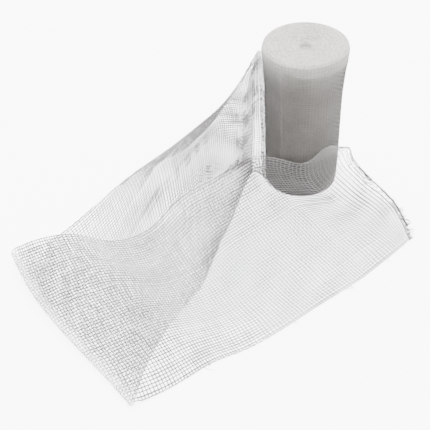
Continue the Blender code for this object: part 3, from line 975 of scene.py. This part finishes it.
def make_body(finish):
    """The wound body: the profile spun round +Z, with its hollows, and its turns standing a little proud."""
    bm = bmesh.new()
    points = [bm.verts.new((x * MM, 0.0, z * MM)) for x, z in body_profile()]
    edges = [bm.edges.new(pair) for pair in zip(points, points[1:])]
    spun = {"cent": (0.0, 0.0, 0.0), "axis": UP, "angle": math.tau, "steps": BODY_SIDES}
    bmesh.ops.spin(bm, geom=points + edges, use_merge=True, **spun)
    bmesh.ops.remove_doubles(bm, verts=bm.verts, dist=WELD)
    half_up = ROLL_HEIGHT / 2
    for vert in bm.verts:
        x, y, z = vert.co
        radius, angle = math.hypot(x, y), math.atan2(y, x)
        if radius < HOLE_REACH and z > half_up:
            z = vert.co.z = max(z, HOLE_FLOOR)
        if radius < WELD:
            continue
        inwards = min(1.0, radius / roll_radius(half_up))
        out = float(wall_offset(angle, z)) * inwards * min(1.0, z / FOOT_KEPT)
        vert.co.x += out * math.cos(angle)
        vert.co.y += out * math.sin(angle)
        if z >= RELIEF_ABOVE and radius <= RELIEF_RADIUS:
            vert.co.z += end_lift(x, y, radius, angle)
    bmesh.ops.recalc_face_normals(bm, faces=bm.faces)
    mesh = bpy.data.meshes.new("wound_body")
    bm.to_mesh(mesh)
    bm.free()
    mesh.shade_smooth()
    mesh.set_sharp_from_angle(angle=SHARP_ABOVE)
    mesh.materials.append(finish)
    return placed("wound_body", mesh)


def laid_tube(path, radii, painted_light):
    """A single thread, kept a hair above the surface that the roll stands on."""
    path = path.copy()
    path[:, 2] = np.maximum(path[:, 2], LEAST_HEIGHT)
    return tubes(path[None], np.broadcast_to(UP, path.shape)[None], radii, painted_light)


def fray_reach(across):
    return read(across, FRAY_REACH, "at reach", MM)


def fray_point(cloth, across, share):
    """A point beyond the cut, at a share of the reach of the loose warp ends there."""
    across = np.asarray(across, float)
    edge, _ = cloth.at(np.ones_like(across), across)
    back, _ = cloth.at(np.full_like(across, CUT_HEADING_FROM), across)
    out = unit(edge - back)
    out[..., 2] = out[..., 2] * CUT_LEVEL - CUT_SAG * np.asarray(share)
    beyond = np.clip(across - 1.0, 0.0, None)[..., None]
    edge = edge - unit(out * (1.0, 1.0, 0.0)) * beyond * CUT_CORNER
    return edge + out * (fray_reach(np.clip(across, 0, 1)) * np.asarray(share))[..., None]


def fray_thread(path, across):
    """A thread of the cut, paler with painted light and finer up by the roll."""
    by_roll = faded(across, "cut by the roll")
    light_paint = towards(PAINTED_LIGHT_FRAY, PAINTED_LIGHT_FRAY_BY_ROLL, by_roll)
    return laid_tube(path, THREAD * (FRAY_STOUT - FRAY_FINER * by_roll), light_paint)


def warp_ends(cloth, rng):
    """Loose ends of warp beyond the last pick."""
    shares = np.linspace(FRAY_ROOT, 1.0, FRAY_POINTS)
    parts = []
    for k in range(WARP_ENDS):
        across = (k + 0.5) / WARP_ENDS
        reach = 1.0 + abs(rng.normal(0, FRAY_UNEVEN)) if across < FRAY_EVEN_FROM else 1.0
        swing = rng.normal(0, FRAY_SWING) / WARP_ENDS
        wave = FRAY_WAVE / WARP_ENDS * np.sin(shares * rng.uniform(*FRAY_WAVES) + rng.uniform(*ANY_PHASE))
        path = fray_point(cloth, across + swing * shares.clip(0) + wave, shares * reach)
        parts.append(fray_thread(path, np.full(FRAY_POINTS, across)))
    return parts


def slipped_threads(cloth, rng):
    """Threads that have slipped off the cut and lie bunched along the loose ends of warp."""
    first, second = SLIPPED_WAVES
    parts = []
    for slipped in SLIPPED:
        for lot in range(SLIPPED_LOTS):
            along = np.linspace(slipped["from"], slipped["to"], SLIPPED_POINTS)
            wander = np.sin(along * first + rng.uniform(*ANY_PHASE))
            wander = wander + SLIPPED_SECOND * np.sin(along * second + rng.uniform(*ANY_PHASE))
            share = slipped["share"] + slipped["wander"] * wander + SLIPPED_APART * lot
            path = fray_point(cloth, along, share)
            path[:, 2] += SLIPPED_RISE * np.sin(along * SLIPPED_RISES + lot * 3)
            parts.append(fray_thread(path, along))
    return parts


def loose_hairs(cloth, rng):
    """The tuft at the lower corner of the cut and the stray hairs of the lower selvedge."""
    parts = []
    for _ in range(TUFT_HAIRS):
        across = rng.uniform(*TUFT_FROM_TO)
        start = fray_point(cloth, across, rng.uniform(*TUFT_BEYOND))
        heading = rng.normal(TUFT_HEADING, TUFT_SPREAD)
        length = rng.uniform(*TUFT_LENGTHS) * MM
        bend = rng.normal(0, TUFT_BEND)
        parts.append(hair(start, heading, length, bend, rng.uniform(0.0, TUFT_CLIMB)))
    for row in STRAY:
        along = UPPER_FROM + (1 - UPPER_FROM) * row["along"]
        start, _ = cloth.at(np.array(along), np.array(STRAY_ACROSS))
        before, _ = cloth.at(np.array(along - STRAY_BACK), np.array(STRAY_ACROSS))
        run = start - before
        heading = math.atan2(run[1], run[0]) - math.radians(STRAY_TURN + row["turn"])
        parts.append(hair(start, heading, row["length"] * MM, rng.normal(0, STRAY_BEND), 0.0))
    return parts


def make_fray(cloth, finish):
    rng = np.random.default_rng(FRAY_SEED)
    parts = warp_ends(cloth, rng)
    parts += slipped_threads(cloth, rng)
    parts += loose_hairs(cloth, rng)
    return piece_of("frayed_threads", parts, finish)


def hair(start, heading, length, bend, climb):
    """A single fine fibre that leaves a thread and curls."""
    t = np.linspace(0.0, 1.0, HAIR_POINTS)
    angle = heading + bend * t
    steps = np.stack([np.cos(angle), np.sin(angle), climb * np.cos(HAIR_WAVES * t)], axis=1) * length / len(t)
    path = start + np.cumsum(steps, axis=0) - steps[0]
    return laid_tube(path, HAIR * np.linspace(1.0, HAIR_TIP, HAIR_POINTS), PAINTED_LIGHT_FRAY)


class Level:
    """A value that runs through a finish, so that its maths reads as plain sums."""

    def __init__(self, finish, socket):
        self.finish, self.socket = finish, socket

    def math(self, operation, *others, clamp=False):
        node = self.finish.nodes.new("ShaderNodeMath")
        node.operation = operation
        node.use_clamp = clamp
        for slot, value in zip(node.inputs, (self, *others)):
            self.finish.join(slot, value)
        return Level(self.finish, node.outputs[0])

    def __add__(self, other):
        return self.math("ADD", other)

    __radd__ = __add__

    def __mul__(self, other):
        return self.math("MULTIPLY", other)

    __rmul__ = __mul__

    def __sub__(self, other):
        return self.math("SUBTRACT", other)

    def __rsub__(self, other):
        return (self * -1.0) + other

    def __truediv__(self, other):
        return self.math("DIVIDE", other)

    def __rtruediv__(self, other):
        return self.math("POWER", -1.0) * other

    def __pow__(self, other):
        return self.math("POWER", other)

    def sine(self):
        return self.math("SINE")

    def cosine(self):
        return self.math("COSINE")

    def held(self):
        """The value kept between 0 and 1."""
        return self.math("ADD", 0.0, clamp=True)


class Finish:
    """A node material built in plain steps."""

    def __init__(self, name):
        self.material = bpy.data.materials.new(name)
        self.material.use_nodes = True
        self.nodes = self.material.node_tree.nodes
        self.links = self.material.node_tree.links
        self.shader = self.nodes["Principled BSDF"]

    def join(self, slot, value):
        if isinstance(value, Level):
            self.links.new(value.socket, slot)
        elif hasattr(value, "__len__") and len(value) == 3 and slot.type == "RGBA":
            slot.default_value = (*value, 1.0)
        else:
            slot.default_value = value

    def made(self, kind, output, settings=None, **values):
        node = self.nodes.new(kind)
        for name, value in (settings or {}).items():
            setattr(node, name, value)
        for name, value in values.items():
            slot = next(s for s in node.inputs if s.name == name.replace("_", " ") and s.enabled)
            self.join(slot, value)
        return Level(self, next(s for s in node.outputs if s.name == output and s.enabled))

    def place(self):
        """X, Y and Z of the piece, in millimetres."""
        spot = self.made("ShaderNodeTexCoord", "Object")
        parts = [self.made("ShaderNodeSeparateXYZ", axis, Vector=spot) for axis in "XYZ"]
        return spot, [part * 1000.0 for part in parts]

    def noise(self, spot, size, detail=3.0, roughness=0.55):
        """Noise from 0 to 1 with lumps of that size in metres."""
        amounts = {"Scale": 1.0 / size, "Detail": detail, "Roughness": roughness}
        return self.made("ShaderNodeTexNoise", "Fac", Vector=spot, **amounts)

    def mixed(self, amount, first, second):
        node = self.nodes.new("ShaderNodeMix")
        node.data_type = "RGBA"
        colours = [s for s in node.inputs if s.type == "RGBA"]
        self.join(node.inputs[0], amount)
        self.join(colours[0], first)
        self.join(colours[1], second)
        return Level(self, next(s for s in node.outputs if s.type == "RGBA"))

    def set(self, **values):
        for name, value in values.items():
            self.join(self.shader.inputs[name.replace("_", " ")], value)

    def bumped(self, height, depth, strength):
        amounts = {"Distance": depth, "Strength": strength}
        self.set(Normal=self.made("ShaderNodeBump", "Normal", Height=height, **amounts))

    def rim(self, z):
        """How near the rim a height is, from 0 to 1: how far the wall's painted shade gives way to paler
        colour.
        """
        return ((z - RIM_FROM) / RIM_RISE).held() ** RIM_POWER

    def grain(self, spot):
        """Broad lumps of tone and the fluff of the fibres."""
        return self.noise(spot, BROAD, detail=2.0), self.noise(spot, FLUFF, detail=2.0)


def loose_finish():
    """Bleached cotton thread: matt, a little fluffy, as pale as the painted light and shade on the piece
    says.
    """
    finish = Finish("bleached thread")
    spot, _ = finish.place()
    broad, fluff = finish.grain(spot)
    tone = ((broad - 0.5) * 0.6 + (fluff - 0.5) * 0.6 + 0.5).held()
    # Painted light and shade that each thread carries from where it lies
    light_paint = finish.made("ShaderNodeAttribute", "Fac", {"attribute_name": "painted_light"})
    level = (light_paint + (tone - 0.5) * 0.25).held()
    cotton = finish.mixed(level, COTTON_PAINTED_SHADE, COTTON_PALE)
    finish.set(Base_Color=cotton, **LOOSE_SURFACE)
    finish.bumped(fluff, FLUFF_DEPTH, 0.5)
    return finish.material


def wound_finish():
    """The thread of the outermost turn, a little darker on the wall and at the foot as painted shade, and
    pale up at the rim where that painted shade gives way.
    """
    finish = Finish("wound thread")
    spot, (_, _, z) = finish.place()
    broad, fluff = finish.grain(spot)
    tone = ((broad - 0.5) * 1.0 + (fluff - 0.5) * 0.9 + 0.5).held()
    rim = finish.rim(z)
    # Painted shade on the wall
    on_wall = finish.mixed(tone, SHADED_WOUND_DULL, SHADED_WOUND_PALE)
    # Painted shade at the foot
    on_wall = finish.mixed((1.0 - (z / FOOT_SHADE).held()) * FOOT_AMOUNT, on_wall, WOUND_FOOT_SHADE)
    # Paler up at the rim, where the painted shade gives way
    finish.set(Base_Color=finish.mixed(rim, on_wall, RIM_PALE), **WOUND_SURFACE)
    finish.bumped(fluff, FLUFF_DEPTH, 0.5)
    return finish.material


def body_finish():
    """The wound cloth: close turns seen on edge on the wound end, and woven layers on the wall, drawn darker
    than the end as painted shade, darker still at the foot and paler towards the rim.
    """
    finish = Finish("wound gauze")
    spot, (x, y, z) = finish.place()
    radius = (x * x + y * y) ** 0.5
    angle = y.math("ARCTAN2", x)
    broad = finish.noise(spot, WOUND_BROAD)
    fine = finish.noise(spot, WOUND_FINE)
    turn = (radius / (TURN_PITCH / MM) - angle / math.tau + (broad - 0.5) * 0.5) * math.tau
    close = (radius / CLOSE_PITCH - angle / math.tau + (fine - 0.5) * 0.6) * math.tau
    bands = ((radius / BAND_PITCH + (broad - 0.5) * BAND_DRIFT) * math.tau).cosine()
    grain = finish.noise(spot, WOUND_GRAIN, detail=2.0, roughness=0.7)
    run = {"X": angle * STREAKS["turn"], "Y": z / STREAKS["height"], "Z": radius / STREAKS["radius"]}
    streak_at = finish.made("ShaderNodeCombineXYZ", "Vector", **run)
    streak = finish.made("ShaderNodeTexNoise", "Fac", Vector=streak_at, Scale=1.0, Detail=2.0)
    turns = turn.cosine() * 0.25 + close.cosine() * 0.2 + bands * 0.16 + 0.5
    ends = (z * (math.tau / END_PITCH) + (broad - 0.5) * 3.0).sine()
    picks = (angle * float(PICKS_ROUND) + (fine - 0.5) * 0.6).sine()
    woven = (ends * 0.14 + picks * 0.14 + 0.5).held()
    rim = finish.rim(z)
    on_end = (z - END_FROM).held() * (END_RADIUS - radius).held()
    relief = turns * on_end + woven * (1.0 - on_end)
    speckle = (grain - 0.5) * (on_end * 1.9 + 0.5) + (streak - 0.5) * (1.0 - on_end) * 0.7
    tone = (relief * 0.75 + (broad - 0.5) * 0.8 + (fine - 0.5) * 0.5 + speckle + 0.12).held()
    # Painted shade towards the foot
    shade = (z / FOOT_SHADE).held()
    tone = (tone * (shade * (1.0 - FOOT_KEEPS) + FOOT_KEEPS)).held()
    # The wall in darker colours than the end: painted shade
    wall = finish.mixed(tone, SHADED_WALL_DULL, SHADED_WALL_PALE)
    wall = finish.mixed((1.0 - shade) * FOOT_AMOUNT, wall, WALL_FOOT_SHADE)
    end = finish.mixed(tone, END_DULL, END_PALE)
    # Towards the rim the wall's painted shade gives way to the end's colours
    finish.set(Base_Color=finish.mixed(rim, wall, end), **WOUND_SURFACE)
    finish.bumped(relief + (fine - 0.5) * 0.5, WOUND_DEPTH, 0.7)
    return finish.material


def floor_finish():
    finish = Finish("pale table")
    spot, _ = finish.place()
    faint = finish.noise(spot, FLOOR_LUMPS)
    finish.set(Base_Color=finish.mixed(faint, FLOOR_DULL, FLOOR_PALE), Roughness=0.9)
    seen = finish.made("ShaderNodeLightPath", "Is Camera Ray")
    finish.set(Emission_Color=finish.mixed(seen, BLACK, WHITE), Emission_Strength=FLOOR_GLOW)
    return finish.material


def make_floor():
    bm = bmesh.new()
    bmesh.ops.create_grid(bm, x_segments=2, y_segments=2, size=FLOOR_SIZE)
    mesh = bpy.data.meshes.new("floor")
    bm.to_mesh(mesh)
    bm.free()
    mesh.materials.append(floor_finish())
    placed("floor", mesh)


def make_lamp(name, place, aim, size, power):
    lamp = bpy.data.lights.new(name, "AREA")
    lamp.shape = "DISK"
    lamp.size = size
    lamp.energy = power
    obj = placed(name, lamp)
    obj.location = place
    obj.rotation_euler = (Vector(aim) - Vector(place)).to_track_quat("-Z", "Y").to_euler()


def light_scene():
    world = bpy.data.worlds.new("soft room")
    bpy.context.scene.world = world
    world.use_nodes = True
    light = world.node_tree.nodes["Background"].inputs
    light["Color"].default_value = (*WHITE, 1.0)
    light["Strength"].default_value = ROOM_LIGHT
    make_lamp("high lamp", LAMP_AT, LAMP_AIM, LAMP_SIZE, LAMP_WATTS)


def place_camera():
    forward = Vector((0.0, math.cos(CAMERA_DOWN), -math.sin(CAMERA_DOWN)))
    right = Vector((1.0, 0.0, 0.0))
    up = right.cross(forward)
    right_rolled = math.cos(CAMERA_ROLL) * right + math.sin(CAMERA_ROLL) * up
    up_rolled = -math.sin(CAMERA_ROLL) * right + math.cos(CAMERA_ROLL) * up
    data = bpy.data.cameras.new("camera")
    data.lens = LENS_MM
    data.sensor_width = SENSOR_MM
    camera = placed("camera", data)
    turn = Matrix((right_rolled, up_rolled, -forward)).transposed().to_4x4()
    camera.matrix_world = Matrix.Translation(CAMERA_AT) @ turn
    bpy.context.scene.camera = camera


def main():
    cotton = loose_finish()
    wound = wound_finish()
    cloth = Cloth(loose_end_grid())
    threads = weave(cloth, WARP_ENDS, PICKS, LOOSE_SEED, THREAD, loose_tones, RIPPLE)
    loose = piece_of("loose_gauze", threads, cotton)
    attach(loose, "root")
    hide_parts("loose_end")

    fray = make_fray(cloth, cotton)
    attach(fray, "root")
    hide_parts("frayed_end")

    body = make_body(body_finish())
    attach(body, "root")
    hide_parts("roll")

    threads = weave(outer_turn_cloth(), WARP_ENDS, TURN_PICKS, TURN_SEED, WOUND_THREAD, plain_tones)
    turn = piece_of("outer_turn", threads, wound)
    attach(turn, "root")

    make_floor()
    light_scene()
    place_camera()


main()
